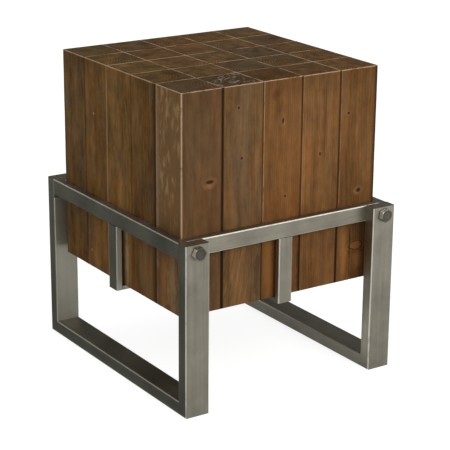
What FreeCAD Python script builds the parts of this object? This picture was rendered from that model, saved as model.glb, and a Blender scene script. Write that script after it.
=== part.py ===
import FreeCAD, Part
import math
import os

Vector = FreeCAD.Vector

# Accent table: a bundle of square timber posts, stood on end and glued into one block, hangs in a
# bolted steel frame with two sled bases. Millimetres, Z up, X across the front, front face at minus Y,
# origin on the floor under the middle of the block.

# Driving dimensions of the timber block
post_size = 89.0
posts_per_side = 5
block_height = 427.0
block_floor_gap = 183.0
seam_ease = 2.2
block_corner_round = 4.0

# Loose tongues that key each post to its neighbours
tongue_thickness = 10.0
tongue_width = 24.0
tongue_stop = 60.0
tongue_fit = 0.2

# Driving dimensions of the steel frame
frame_height = 338.0
leg_width = 52.0
leg_depth = 26.0
sled_height = 26.0
bar_thickness = 18.0
bar_height = 32.0
tube_wall = 2.0
tube_round = 2.5
cap_thickness = 2.0
cap_fit = 0.1
block_clearance = 0.5
weld_leg = 8.0

# Hangers under the ring of bars, and the foot plates that carry the block
hanger_width = 31.0
hanger_thickness = 13.0
hanger_round = 2.5
foot_length = 60.0
foot_thickness = 8.0
foot_bevel = 8.0

# Bolts through the legs into plugs in the crossbar ends
bolt_diameter = 12.0
bolt_head_flats = 24.0
bolt_head_height = 10.0
bolt_head_chamfer = 1.6
bolt_land = 1.6
bolt_fit = 0.3
plug_length = 36.0
plug_fit = 0.1

# Lag screws up through the foot plates into the posts
screw_diameter = 10.0
screw_head_flats = 16.0
screw_head_height = 6.5
screw_reach = 45.0
screw_fit = 0.2
foot_screw_inset = 32.0

# One overrun for every cut
overrun = 1.0

# Places that follow from the driving dimensions
block_side = post_size * posts_per_side
block_half = block_side / 2
block_top = block_floor_gap + block_height
ring_inside = block_half + block_clearance
ring_outside = ring_inside + bar_thickness
frame_outside_y = ring_outside + leg_depth
bar_underside = frame_height - bar_height
hanger_inside = ring_outside - min(hanger_thickness, bar_thickness)
hanger_bottom = block_floor_gap - foot_thickness
bolt_height = frame_height - bar_height / 2
bolt_offset = min(ring_outside - leg_width / 2, ring_inside - bolt_diameter / 2 - bolt_fit - bolt_land)
middle = (posts_per_side - 1) / 2

X_AXIS = Vector(1, 0, 0)
Y_AXIS = Vector(0, 1, 0)
Z_AXIS = Vector(0, 0, 1)


def box(low, high):
    return Part.makeBox(high.x - low.x, high.y - low.y, high.z - low.z, low)


def edges_along(shape, axis):
    """Straight edges of a shape that run along an axis."""
    found = []
    for edge in shape.Edges:
        span = edge.Vertexes[-1].Point - edge.Vertexes[0].Point
        if span.Length > 0 and span.cross(axis).Length < span.Length / 1000:
            found.append(edge)
    return found


def rounded_bar(low, high, axis, radius):
    """A bar whose long edges are rounded, never by more than half its thinner side."""
    bar = box(low, high)
    across = [side for side in ("x", "y", "z") if getattr(axis, side) == 0]
    thinner = min(getattr(high - low, side) for side in across)
    return bar.makeFillet(min(radius, thinner / 2 - thinner / 20), edges_along(bar, axis))


def rounded_tube(low, high, axis):
    """A rectangular steel tube, open at both ends."""
    outer = rounded_bar(low, high, axis, tube_round)
    wall = Vector(tube_wall, tube_wall, tube_wall)
    shift = wall - axis * (tube_wall + overrun)
    return outer.cut(box(low + shift, high - shift))


def prism(points, along):
    """A solid from a closed outline of points, pushed along a vector."""
    wire = Part.makePolygon(points + points[:1])
    return Part.Face(wire).extrude(along)


def hex_head(flats, height):
    corner = flats / math.sqrt(3)
    turns = [math.radians(60 * step) for step in range(6)]
    return prism([Vector(corner * math.cos(a), corner * math.sin(a), 0) for a in turns], Z_AXIS * height)


def chamfered_hex_head(flats, height, chamfer):
    """A hex head whose six top corners are turned off on a cone."""
    corner = flats / math.sqrt(3)
    rim = Part.makePolygon([
        Vector(0, 0, 0), Vector(corner, 0, 0), Vector(corner, 0, height - chamfer),
        Vector(corner - chamfer * math.sqrt(3), 0, height), Vector(0, 0, height), Vector(0, 0, 0)])
    return hex_head(flats, height).common(Part.Face(rim).revolve(Vector(0, 0, 0), Z_AXIS, 360))


def fastener(head, diameter, length, seat, along):
    """A head that sits on a seat point, with its shank going along a direction."""
    shank = Part.makeCylinder(diameter / 2, length, Vector(0, 0, 0), Z_AXIS * -1)
    whole = head.fuse(shank).removeSplitter()
    whole.Placement = FreeCAD.Placement(seat, FreeCAD.Rotation(Z_AXIS, along * -1))
    return whole


def mirrored(shape, normal):
    return shape.mirror(Vector(0, 0, 0), normal)


def post_corner(point, toward_a, toward_b, size, rounded):
    """The edge that eases one corner of a post's section, and its two ends."""
    start = point + toward_a * size
    end = point + toward_b * size
    if not rounded:
        return start, end, Part.makeLine(start, end)
    centre = point + (toward_a + toward_b) * size
    nearest = centre - (toward_a + toward_b) * (size / math.sqrt(2))
    return start, end, Part.Arc(start, nearest, end).toShape()


def post_section(low_x, low_y, row, column):
    """The outline of a post: chamfered at the seams, rounded at the block's four outer corners."""
    last = posts_per_side - 1
    corners = (
        (0, 0, Y_AXIS, X_AXIS), (1, 0, X_AXIS * -1, Y_AXIS),
        (1, 1, Y_AXIS * -1, X_AXIS * -1), (0, 1, X_AXIS, Y_AXIS * -1))
    eased = []
    for side_x, side_y, before, after in corners:
        outer = column == side_x * last and row == side_y * last
        point = Vector(low_x + side_x * post_size, low_y + side_y * post_size, block_floor_gap)
        size = block_corner_round if outer else seam_ease
        eased.append(post_corner(point, before, after, size, outer))
    edges = []
    for index, (start, end, edge) in enumerate(eased):
        following = eased[(index + 1) % len(eased)]
        edges.append(edge)
        edges.append(Part.makeLine(end, following[0]))
    return Part.Face(Part.Wire(edges))


def tongue_box(seam_x, seam_y, across, fit):
    """A loose tongue centred on a seam, or with a fit its groove."""
    half_width = tongue_width / 2 + fit
    half_thickness = tongue_thickness / 2 + fit
    spread = Vector(half_width, half_thickness, 0)
    if across == Y_AXIS:
        spread = Vector(half_thickness, half_width, 0)
    foot = Vector(seam_x, seam_y, block_floor_gap + tongue_stop)
    head = Vector(seam_x, seam_y, block_top - tongue_stop + fit)
    return box(foot - spread, head + spread)


def post_places():
    for row in range(posts_per_side):
        for column in range(posts_per_side):
            yield row, column, (column - middle) * post_size, (row - middle) * post_size


def foot_screw_places():
    """The screw of each foot plate, in from the middle of each side of the block."""
    inward = ring_inside - foot_screw_inset
    return [Vector(0, -inward, 0), Vector(inward, 0, 0), Vector(0, inward, 0), Vector(-inward, 0, 0)]


def post_grooves(row, column, centre_x, centre_y):
    last = posts_per_side - 1
    half = post_size / 2
    grooves = []
    if column > 0:
        grooves.append(tongue_box(centre_x - half, centre_y, X_AXIS, tongue_fit))
    if column < last:
        grooves.append(tongue_box(centre_x + half, centre_y, X_AXIS, tongue_fit))
    if row > 0:
        grooves.append(tongue_box(centre_x, centre_y - half, Y_AXIS, tongue_fit))
    if row < last:
        grooves.append(tongue_box(centre_x, centre_y + half, Y_AXIS, tongue_fit))
    return grooves


def pilot_holes():
    radius = screw_diameter / 2 + screw_fit
    depth = screw_reach - foot_thickness + overrun
    low = block_floor_gap - overrun
    return [Part.makeCylinder(radius, depth + overrun, place + Z_AXIS * low, Z_AXIS)
            for place in foot_screw_places()]


def posts():
    """The 25 posts by name; row 1 is the front row and column 1 the left one."""
    pilots = pilot_holes()
    made = {}
    for row, column, centre_x, centre_y in post_places():
        half = post_size / 2
        post = post_section(centre_x - half, centre_y - half, row, column).extrude(Z_AXIS * block_height)
        ends = [face for face in post.Faces if abs(face.normalAt(0, 0).z) > 0.5]
        post = post.makeChamfer(seam_ease, [edge for face in ends for edge in face.Edges])
        near = [pilot for pilot in pilots if pilot.BoundBox.intersect(post.BoundBox)]
        cuts = post_grooves(row, column, centre_x, centre_y) + near
        made[f"post_row{row + 1}_col{column + 1}"] = post.cut(cuts)
    return made


def tongues(across):
    """All the tongues that cross the seams along one axis."""
    last = posts_per_side - 1
    half = post_size / 2
    made = []
    for row, column, centre_x, centre_y in post_places():
        if across == X_AXIS and column < last:
            made.append(tongue_box(centre_x + half, centre_y, X_AXIS, 0))
        if across == Y_AXIS and row < last:
            made.append(tongue_box(centre_x, centre_y + half, Y_AXIS, 0))
    return Part.makeCompound(made)


def bolt_hole():
    """The front left bolt's clearance hole, long enough for the leg and the crossbar plug."""
    start = Vector(-bolt_offset, -frame_outside_y - overrun, bolt_height)
    length = leg_depth + bar_thickness - tube_wall + overrun
    return Part.makeCylinder(bolt_diameter / 2 + bolt_fit, length, start, Y_AXIS)


def front_left_leg():
    low = Vector(-ring_outside, -frame_outside_y, 0)
    high = Vector(-ring_outside + leg_width, -ring_outside, frame_height)
    tube = rounded_tube(low, high, Z_AXIS)
    start = Vector(-ring_outside - overrun, 0, 0)
    slope = sled_height / leg_depth
    below = [
        start + Vector(0, -frame_outside_y - overrun, -overrun * slope),
        start + Vector(0, -ring_outside + overrun, sled_height + overrun * slope),
        start + Vector(0, -ring_outside + overrun, -overrun * slope)]
    mitre = prism(below, X_AXIS * (leg_width + overrun * 2))
    return tube.cut([mitre, bolt_hole()])


def left_sled_rail():
    low = Vector(-ring_outside, -frame_outside_y, 0)
    high = Vector(-ring_outside + leg_width, frame_outside_y, sled_height)
    tube = rounded_tube(low, high, Y_AXIS)
    start = Vector(-ring_outside - overrun, 0, 0)
    slope = sled_height / leg_depth
    above = [
        start + Vector(0, -frame_outside_y - overrun, -overrun * slope),
        start + Vector(0, -ring_outside + overrun, sled_height + overrun * slope),
        start + Vector(0, -frame_outside_y - overrun, sled_height + overrun * slope)]
    mitre = prism(above, X_AXIS * (leg_width + overrun * 2))
    return tube.cut([mitre, mirrored(mitre, Y_AXIS)])


def front_left_cap():
    """The plate let in flush to close a leg's open top."""
    inset = Vector(tube_wall + cap_fit, tube_wall + cap_fit, 0)
    low = Vector(-ring_outside, -frame_outside_y, frame_height - cap_thickness) + inset
    high = Vector(-ring_outside + leg_width, -ring_outside, frame_height) - inset
    return box(low, high)


def left_top_rail():
    low = Vector(-ring_outside, -ring_outside, bar_underside)
    high = Vector(-ring_inside, ring_outside, frame_height)
    return rounded_tube(low, high, Y_AXIS)


def front_crossbar():
    low = Vector(-ring_inside, -ring_outside, bar_underside)
    high = Vector(ring_inside, -ring_inside, frame_height)
    hole = bolt_hole()
    return rounded_tube(low, high, X_AXIS).cut([hole, mirrored(hole, X_AXIS)])


def front_left_plug():
    """The solid plug in a crossbar end, tapped for the bolt."""
    inset = Vector(0, tube_wall + plug_fit, tube_wall + plug_fit)
    low = Vector(-ring_inside, -ring_outside, bar_underside) + inset
    high = Vector(-ring_inside + plug_length, -ring_inside, frame_height) - inset
    return box(low, high).cut(bolt_hole())


def front_left_bolt():
    seat = Vector(-bolt_offset, -frame_outside_y, bolt_height)
    length = leg_depth + bar_thickness - tube_wall * 2
    head = chamfered_hex_head(bolt_head_flats, bolt_head_height, bolt_head_chamfer)
    return fastener(head, bolt_diameter, length, seat, Y_AXIS)


def front_left_weld():
    """The concave weld in the inside corner of a leg and the top rail."""
    corner = Vector(-ring_outside, -ring_outside, bar_underside)
    on_rail = corner + Y_AXIS * weld_leg
    on_leg = corner - Z_AXIS * weld_leg
    centre = corner + Y_AXIS * weld_leg - Z_AXIS * weld_leg
    toward_corner = (Z_AXIS - Y_AXIS) * (weld_leg / math.sqrt(2))
    hollow = Part.Arc(on_rail, centre + toward_corner, on_leg).toShape()
    outline = Part.Wire([Part.makeLine(on_leg, corner), Part.makeLine(corner, on_rail), hollow])
    return Part.Face(outline).extrude(X_AXIS * bar_thickness)


def front_hanger():
    low = Vector(-hanger_width / 2, -ring_outside, hanger_bottom)
    high = Vector(hanger_width / 2, -hanger_inside, bar_underside)
    return rounded_bar(low, high, Z_AXIS, hanger_round)


def front_foot_plate():
    low = Vector(-hanger_width / 2, -hanger_inside, hanger_bottom)
    high = Vector(hanger_width / 2, -ring_inside + foot_length, block_floor_gap)
    plate = box(low, high)
    inner = [edge for edge in edges_along(plate, Z_AXIS) if abs(edge.CenterOfMass.y - high.y) < overrun]
    plate = plate.makeChamfer(min(foot_bevel, hanger_width / 2 - hanger_width / 20), inner)
    radius = screw_diameter / 2 + screw_fit
    start = foot_screw_places()[0] + Z_AXIS * (hanger_bottom - overrun)
    return plate.cut(Part.makeCylinder(radius, foot_thickness + overrun * 2, start, Z_AXIS))


def lag_screws():
    head = hex_head(screw_head_flats, screw_head_height)
    seats = [place + Z_AXIS * hanger_bottom for place in foot_screw_places()]
    return Part.makeCompound([fastener(head, screw_diameter, screw_reach, seat, Z_AXIS) for seat in seats])


def four_corners(shape):
    """A front left piece and its mirror images: front left, front right, back left, back right."""
    right = mirrored(shape, X_AXIS)
    return [shape, right, mirrored(shape, Y_AXIS), mirrored(right, Y_AXIS)]


def turned(shape, quarter_turns):
    copy = shape.copy()
    copy.rotate(Vector(0, 0, 0), Z_AXIS, 90 * quarter_turns)
    return copy


def table_nodes():
    nodes = posts()
    nodes["tongues_across"] = tongues(X_AXIS)
    nodes["tongues_front_to_back"] = tongues(Y_AXIS)
    corner_names = ("front_left", "front_right", "back_left", "back_right")
    for name, leg in zip(corner_names, four_corners(front_left_leg())):
        nodes[f"{name}_leg"] = leg
    for side, rail in (("sled_rail", left_sled_rail()), ("top_rail", left_top_rail())):
        nodes[f"left_{side}"] = rail
        nodes[f"right_{side}"] = mirrored(rail, X_AXIS)
    crossbar = front_crossbar()
    nodes["front_crossbar"] = crossbar
    nodes["back_crossbar"] = mirrored(crossbar, Y_AXIS)
    for turn, side in enumerate(("front", "right", "back", "left")):
        nodes[f"{side}_hanger"] = turned(front_hanger(), turn)
        nodes[f"{side}_foot_plate"] = turned(front_foot_plate(), turn)
    nodes["leg_caps"] = Part.makeCompound(four_corners(front_left_cap()))
    nodes["corner_welds"] = Part.makeCompound(four_corners(front_left_weld()))
    nodes["crossbar_plugs"] = Part.makeCompound(four_corners(front_left_plug()))
    nodes["frame_bolts"] = Part.makeCompound(four_corners(front_left_bolt()))
    nodes["lag_screws"] = lag_screws()
    return nodes


os.makedirs("parts", exist_ok=True)
for node, shape in table_nodes().items():
    shape.exportStep(f"parts/{node}.step")
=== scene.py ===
from collections import namedtuple
from math import cos, degrees, pi, radians, sin, sqrt, tau

import bmesh
import bpy
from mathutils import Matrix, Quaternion, Vector, noise


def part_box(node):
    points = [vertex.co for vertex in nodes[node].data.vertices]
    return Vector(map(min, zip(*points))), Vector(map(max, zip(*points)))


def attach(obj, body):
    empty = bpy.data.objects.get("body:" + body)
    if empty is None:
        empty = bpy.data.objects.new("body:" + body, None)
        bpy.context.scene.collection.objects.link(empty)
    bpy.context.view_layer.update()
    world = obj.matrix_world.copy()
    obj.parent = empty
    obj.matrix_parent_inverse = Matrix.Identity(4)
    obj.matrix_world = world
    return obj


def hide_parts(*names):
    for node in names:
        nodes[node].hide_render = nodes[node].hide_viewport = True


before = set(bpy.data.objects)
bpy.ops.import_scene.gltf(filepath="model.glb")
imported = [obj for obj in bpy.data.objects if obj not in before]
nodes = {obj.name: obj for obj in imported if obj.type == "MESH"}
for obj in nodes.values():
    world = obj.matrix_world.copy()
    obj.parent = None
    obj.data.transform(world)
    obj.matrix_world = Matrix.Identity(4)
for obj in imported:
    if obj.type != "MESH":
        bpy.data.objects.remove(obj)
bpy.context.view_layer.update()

# Layout of the block: rows count from the front, columns from the left.
POSTS = 5
SIDES = 4
ROOT = "root"

# Camera, in metres and degrees.
AIM = Vector((-0.0625, -0.1255, 0.31))
DISTANCE = 3.072
AZIMUTH = -33.6
ELEVATION = 18.115
ROLL = 0.457
LENS = 127.47
SENSOR = 36.0
FAR_END = 100.0

# Post shape, in metres.
CORNER_ROUND = 0.0021
SEAM_ROUND = 0.002
TOP_ROUND = 0.001
FACE_WAVE = 0.0005
FACE_STEP = 0.0004
TOP_STEP = 0.0005
NICK = 0.0012
DISH = 0.00035
RIM_BAND = 0.0008
PALE_BAND = 0.0013
PALE_LINE = PALE_BAND * 1.6
SEAM_AND_SHADE_BAND = 0.0026
ARC_STEPS = 4
HALF_SHARES = (0.0, 0.01, 0.022, 0.036, 0.055, 0.09, 0.14, 0.2, 0.3, 0.4)
SIDE_SHARES = (*HALF_SHARES, 0.5, *(1.0 - share for share in reversed(HALF_SHARES)))
LEVELS = 44
END_LEVELS = (0.0016, 0.0055)
KNOT_DEPTH = 0.03
MM = 0.001
MERGE = 1e-6
SQUARE = ((0, 0), (1, 0), (1, 1), (0, 1))
INWARD = (Vector((0, 1)), Vector((-1, 0)), Vector((0, -1)), Vector((1, 0)))

# Wear of the post shape: shares, then the noise's pace.
SLOW_WEAR = 0.25
NICK_START = 0.3
SHIFT_RISE = 4.0
WEAR_PACE = 24.0
NICK_PACE = 70.0
WAVE_PACE = (2.2, 9.0)
DISH_PACE = 30.0
# Places in the noise field that keep posts, corners and sides apart.
MESH_SEED = (13.7, 5.3)
GRAIN_SEED = (7.31, 3.17)
CORNER_SEED = 2.3
SIDE_SEED = 3.3
FOOT_SEED = 50.0
WEAR_ROW = 3.1
NICK_ROW = 7.7
SHIFT_ROW = (9.1, 0.4)
DROP_ROW = (4.4, 8.8)

# How dark and how pale an edge is, its rounding, and the width of its dark band.
Edge = namedtuple("Edge", "dark pale round width")
# Seams of the front, from the left, and of the left face, from the front, with round a share of SEAM_ROUND.
FRONT_SEAMS = (
    Edge(0.95, 0.1, 0.9, 1.0),
    Edge(0.45, 0.8, 0.5, 0.5),
    Edge(0.66, 0.65, 0.65, 0.7),
    Edge(0.7, 0.6, 0.7, 0.8),
)
LEFT_SEAMS = (
    Edge(0.8, 0.1, 0.8, 0.9),
    Edge(0.3, 0.1, 0.5, 1.0),
    Edge(0.1, 0.95, 0.4, 0.6),
    Edge(0.4, 0.05, 0.5, 1.2),
)
OTHER_SEAM = Edge(0.85, 0.15, 0.9, 1.0)
# Edges that differ from the seam's other side, by (row, column, corner).
OWN_EDGES = {
    (2, 1, 0): Edge(0.75, 0.0, 0.8, 5.0),
    (1, 1, 3): Edge(0.25, 0.9, 0.7, 0.6),
    (3, 1, 3): Edge(0.3, 0.0, 0.4, 0.6),
}
HIDDEN_EDGE = Edge(0.0, 0.0, SEAM_ROUND, 1.0)
# Corners count from the front left one, anticlockwise seen from above.
FRONT_CORNERS = (0, 1)
LEFT_CORNERS = (0, 3)
# Corners whose seam shows a pale line beside it.
PALE_CORNERS = (0, 3)
# Rubbing and darkening of the block's upright edges: front left, front right, back right, back left.
EDGE_RUB = (0.9, 0.0, 0.55, 0.25)
# On the front right edge this darkening is painted shade.
EDGE_DARK = (0.0, 0.95, 0.0, 0.3)
EDGE_WIDTH = 3.2
# Rubbing of the rims of the top: front, right, back, left.
RIM_RUB = (0.85, 0.2, 0.15, 0.95)
TOP_SEAM_RUB = 0.85

# Timber tones of the front row, from the left.
FRONT_TONES = (
    (0.115, 0.062, 0.0255),
    (0.158, 0.085, 0.0325),
    (0.154, 0.07, 0.0215),
    (0.18, 0.088, 0.03),
    (0.15, 0.071, 0.0225),
)
# Timber tones of the left column behind the corner post, from the front.
LEFT_TONES = (
    (0.15, 0.076, 0.018),
    (0.184, 0.098, 0.0275),
    (0.162, 0.084, 0.0235),
    (0.138, 0.079, 0.0275),
)
# Tones that the other posts take in turn.
OTHER_TONES = (
    (0.168, 0.09, 0.034),
    (0.146, 0.08, 0.031),
    (0.18, 0.092, 0.032),
    (0.136, 0.078, 0.034),
    (0.172, 0.084, 0.028),
)
# Steps from dark to pale grain, as (place on the ramp, share of the tone, warmth).
BROWN = ((0.24, 0.42, 1.02), (0.43, 0.81, 1.01), (0.57, 1.12, 0.99), (0.77, 1.66, 0.96))
ORANGE = ((0.24, 0.42, 1.06), (0.43, 0.82, 1.08), (0.57, 1.12, 1.08), (0.77, 1.64, 1.04))
# Values of the front row, from the left, then of the others: contrast of the grain, grey weathering,
# brightness of the end grain, and darkening near the top edge and in the lower part of the post.
CONTRASTS = (0.9, 1.15, 1.05, 1.1, 1.2, 1.42)
GREYS = (0.08, 0.22, 0.04, 0.06, 0.1, 0.24)
ENDS = (1.24, 0.7, 0.84, 0.93, 1.36, 1.12)
DARKENING = (0.15, 0.35, 0.9, 1.0, 0.9, 0.5)
# Darkening of the left column behind the corner post, from the front.
LEFT_DARKENING = (0.25, 0.15, 0.7, 1.0)

# Posts with sapwood on the left side, scratches on the end, and streaks at the foot, with their slope.
SAPWOOD_POST = (1, 1)
SCRATCHED_POST = (1, 2)
SLANTED_POST = (1, 2)
SLANT = -0.23

# Timber colours.
SAPWOOD = (0.235, 0.133, 0.049, 1.0)
SAPWOOD_FLECK = (0.38, 0.24, 0.112, 1.0)
HEIGHT_DARK_TINT = (0.72, 0.69, 0.64, 1.0)
PALE_EDGE = (0.4, 0.268, 0.158, 1.0)
PALE_TOP = (0.3, 0.232, 0.158, 1.0)
SCRATCH = (0.33, 0.305, 0.255, 1.0)
# Dark of the seams and checks, also laid as painted shade along the block's front right edge.
SEAM_AND_SHADE_DARK = (0.024, 0.013, 0.005, 1.0)
GREY_STREAK = (0.14, 0.113, 0.083, 1.0)
DARK_STREAK = (0.04, 0.031, 0.021, 1.0)
COOL_STREAK = (0.128, 0.113, 0.092, 1.0)
WARM_PATCH = (1.26, 1.0, 0.68, 1.0)
KNOT_DARK = (0.02, 0.011, 0.006, 1.0)
KNOT_HALO = (0.215, 0.098, 0.042, 1.0)
AMBER = (0.3, 0.13, 0.036, 1.0)
RUSSET = (0.085, 0.036, 0.013, 1.0)
FADED = (0.42, 0.31, 0.19, 1.0)
ROSE = (0.245, 0.157, 0.098, 1.0)
STRAW = (0.32, 0.205, 0.098, 1.0)
EARLY_END = (0.6, 0.62, 0.62)
LATE_END = (0.33, 0.34, 0.34)
WARM_END = (1.07, 0.98, 0.9, 1.0)
COOL_END = (0.93, 1.0, 0.94, 1.0)
TONGUE_STOPS = ((0.3, (0.22, 0.13, 0.06, 1.0)), (0.7, (0.38, 0.25, 0.13, 1.0)))

# Knots as (row, column, face, place along the face, height, half width, half height), in millimetres.
KNOTS = (
    (1, 1, "front", -161, 436, 9.2, 3.7),
    (1, 2, "front", -98, 567, 2.4, 2.8),
    (1, 2, "front", -91, 471, 2.4, 3),
    (1, 3, "front", 1, 529, 2.6, 6.5),
    (1, 3, "front", 9, 382, 2.6, 2.6),
    (1, 4, "front", 89, 453, 2.2, 3.6),
    (1, 5, "front", 155, 524, 3.2, 2.6),
    (1, 5, "front", 184, 366, 5.8, 4.4),
    (3, 1, "left", -6, 330, 5, 6),
    (2, 5, "right", -80, 300, 6, 8),
    (3, 5, "right", 20, 520, 4, 5),
    (5, 5, "right", 165, 400, 5, 4),
    (5, 2, "back", -85, 480, 5.5, 7),
    (5, 4, "back", 98, 350, 4.5, 6),
)
# Stains, and patches of painted light that lighten shade beside a leg and the hangers, in the same order,
# then their colour and strength.
STAINS_AND_PAINTED_LIGHT = (
    (1, 1, "front", -164, 428.5, 13, 7.8, AMBER, 0.62),
    (1, 3, "front", -13, 583, 10.5, 15, RUSSET, 0.95),
    (1, 3, "front", 4, 525, 3.5, 7, FADED, 0.45),
    (1, 4, "front", 92, 453, 5.5, 6, RUSSET, 0.5),
    (1, 4, "front", 76, 577, 8, 3.5, RUSSET, 0.4),
    (1, 5, "front", 148, 517, 6, 6, RUSSET, 0.35),
    (1, 5, "front", 180, 368, 13, 10, RUSSET, 0.45),
    (1, 5, "front", 178, 365, 10.5, 8, AMBER, 0.45),
    (1, 5, "front", 167.5, 245, 3, 60, SEAM_AND_SHADE_DARK, 0.8),
    # Amber patches low on this post: partly stain, partly painted light that lightens the front right leg's
    # shade.
    (1, 5, "front", 186, 225, 16, 24, AMBER, 0.55),
    (1, 5, "front", 152, 245, 11, 90, AMBER, 0.6),
    (1, 2, "front", -54, 245, 9.5, 90, DARK_STREAK, 0.6),
    (1, 3, "front", 41, 245, 3.5, 70, SEAM_AND_SHADE_DARK, 0.75),
    # Amber patch left of the front hanger: partly stain, partly painted light that lightens the hanger's
    # shade.
    (1, 3, "front", -26, 250, 15, 90, AMBER, 0.45),
    (1, 4, "front", 131, 245, 2.2, 70, SEAM_AND_SHADE_DARK, 0.5),
    # Pale strip beside the left hanger: partly a pale streak of the timber, partly painted light that
    # lightens the shade between hanger and block.
    (3, 1, "left", -23.5, 245, 11, 90, FADED, 0.6),
    (1, 1, "left", -190, 245, 24, 80, STRAW, 0.56),
    (1, 1, "left", -160, 235, 20, 80, AMBER, 0.56),
    (2, 1, "left", -90, 245, 40, 80, STRAW, 0.16),
    (4, 1, "left", 131, 245, 2.6, 70, SEAM_AND_SHADE_DARK, 0.6),
    (1, 1, "left", -139.5, 430, 7.5, 260, ROSE, 0.75),
    (4, 1, "left", 47.5, 420, 5, 340, STRAW, 0.6),
    (4, 1, "left", 101, 504, 4, 4, FADED, 0.75),
    (4, 1, "left", 117, 218, 4.5, 4, FADED, 0.55),
)
# Curls of grain round a branch, in the same order as the knots.
CURLS = ((1, 5, "front", 183, 252.5, 16.5, 9.2),)

# Noise patterns: pace in the three directions, detail, roughness, values between which marks show, strength.
Pattern = namedtuple("Pattern", "pace detail roughness start end strength", defaults=(0.0, 1.0, 1.0))
WARP = Pattern((9, 9, 3), 2, 0.5)
FIBRE = Pattern((560, 560, 40), 5, 0.62)
FRONT_GRAIN = Pattern((95, 95, 8), 5, 0.62)
OTHER_GRAIN = Pattern((66, 66, 11), 5, 0.62)
MOTTLE = Pattern((58, 58, 34), 5, 0.7)
ZONE = Pattern((27, 27, 3.5), 2, 0.5)
HUE = Pattern((22, 22, 7), 3, 0.55, 0.1, 0.38)
FLECKS = Pattern((85, 85, 30), 5, 0.66, 0.48, 0.64, 0.7)
FLECK_PATCHES = Pattern((24, 24, 10), 2, 0.5, 0.38, 0.56)
WEATHERING = Pattern((42, 42, 2.4), 4, 0.62, 0.47, 0.7)
PORES = Pattern((760, 760, 46), 2, 0.5, 0.6, 0.74)
CHECKS = Pattern((260, 260, 5), 2, 0.5, 0.68, 0.74)
DARK_STREAKS = Pattern((74, 74, 9), 4, 0.6, 0.55, 0.7)
WARM_PATCHES = Pattern((40, 40, 14), 3, 0.55, 0.48, 0.64)
COOL_STREAKS = Pattern((66, 66, 13), 4, 0.6, 0.57, 0.7)
DARK_STROKES = Pattern((230, 230, 15), 2, 0.5, 0.55, 0.68, 0.55)
PALE_STROKES = Pattern((210, 210, 18), 2, 0.5, 0.43, 0.32, 0.17)
SWIRL = Pattern((46, 46, 40), 2, 0.5, strength=1.2)
END_HUE = Pattern((24, 34, 1), 3, 0.6, 0.35, 0.65)
SCRATCHES = Pattern((34, 210, 1), 1, 0.5, 0.64, 0.72, 0.05)
SIDE_RUB = Pattern((70, 70, 45), 4, 0.6, 0.2, 0.52)
TOP_RUB = Pattern((30, 30, 30), 3, 0.6, 0.32, 0.58)
TONGUE_GRAIN = Pattern((90, 90, 4), 4, 0.55)
STEEL_CLOUDS = Pattern((13, 13, 13), 5, 0.6)
STEEL_SPECKS = Pattern((260, 260, 260), 2, 0.5)
BAR_RUB_AND_HIGHLIGHT = Pattern((60, 60, 60), 3, 0.6, 0.12, 0.5)
BOLT_RUB_AND_HIGHLIGHT = Pattern((380, 380, 380), 3, 0.6, 0.14, 0.44)
DEEP_SCRATCHES = SCRATCHES._replace(strength=0.52)
SCRATCH_ANGLES = (78.0, 112.0, 97.0, 24.0)

# Grain of the front row and of the others: its pattern, then the strength of what lies over it.
Grain = namedtuple("Grain", "pattern blotch dark warm cool")
FRONT_ROW = Grain(FRONT_GRAIN, 0.38, 0.0, 0.3, 0.06)
OTHER_ROWS = Grain(OTHER_GRAIN, 0.44, 0.4, 0.55, 0.36)
PORE_SHARE = 0.17
CHECK_SHARE = 0.28
FIBRE_SHARE = 0.14
GRAIN_SHARE = 0.8
ZONE_SHARE = 0.43
LATE_SHARE = -0.05
MIDDLE_VALUE = 0.68
HUE_FALL = -0.55
# Growth rings and wandering grain, in metres and shares.
PITH_OFFSET = 0.052
PITH_TURNS = (2.1, 1.7)
RINGS_PER_METRE = 190.0
WANDER = 0.022
FLOW_WANDER = 0.55
FLECK_WANDER = 1.4
WARP_SHIFT = (1.0, 1.3, 0.7)
GRAIN_SHIFT = (1.7, 2.3, 0.9)
ACROSS = (1.0, 1.0, 0.0)

# Values between which something comes to show, and its strength there.
Band = namedtuple("Band", "start end strength", defaults=(1.0,))
LATE_RISE = Band(0.3, 0.85)
LATE_FALL = Band(1.0, 0.88)
FACES_UP = Band(0.75, 0.95)
FACES_AWAY = Band(-0.5, -0.9)
FLAT_END = Band(0.995, 0.93)
SAPWOOD_RISE = Band(0.33, 0.4, 0.8)
SAPWOOD_LOW = 0.2
SAPWOOD_SHARE = 0.55
DARK_NEAR_TOP = Band(0.555, 0.612, 0.8)
DARK_LOWER_DOWN = Band(0.47, 0.34, 0.65)
SLANTED_FOOT = Band(0.33, 0.29)
BELOW_FRAME = Band(0.345, 0.325)
LOW_WEAR = -0.85
LOW_SEAM = 0.7
WEAR_SHOWS = Band(0.1, 0.85)
STAIN_RIM = Band(2.3, 1.3)
STAIN_RAGGED = 2.4
KNOT_PARTING = Band(4.0, 0.9, -0.45)
KNOT_RIM = Band(4.2, 2.2, 0.45)
KNOT_RAGGED = 2.6
KNOT_CORE = Band(1.75, 1.15, 0.9)
KNOT_DIP = Band(1.2, 0.6, -0.6)
CURL_GLOW = Band(1.9, 1.2, 0.4)
CURL_PACE = 4.2
CURL_LINE = Band(0.75, 0.15, 0.85)
CURL_OUTSIDE = Band(2.6, 1.6)
CURL_INSIDE = Band(1.05, 1.3)
CURL_GAPS = Band(0.3, 0.52)
SEAM_AND_SHADE_RAGGED = (0.7, 0.65)
# Relief and gloss of the timber.
FIBRE_RELIEF = 0.7
LATE_RELIEF = 0.3
PORE_RELIEF = -0.45
CHECK_RELIEF = -0.8
TIMBER_RELIEF = (0.38, 0.0008)
TIMBER_ROUGH = (0.25, 0.56)
TIMBER_GLOSS = 0.07
TONGUE_RELIEF = (0.2, 0.0004)
TONGUE_ROUGH = (0.2, 0.5)
EVEN_NORMALS = 80

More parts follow.
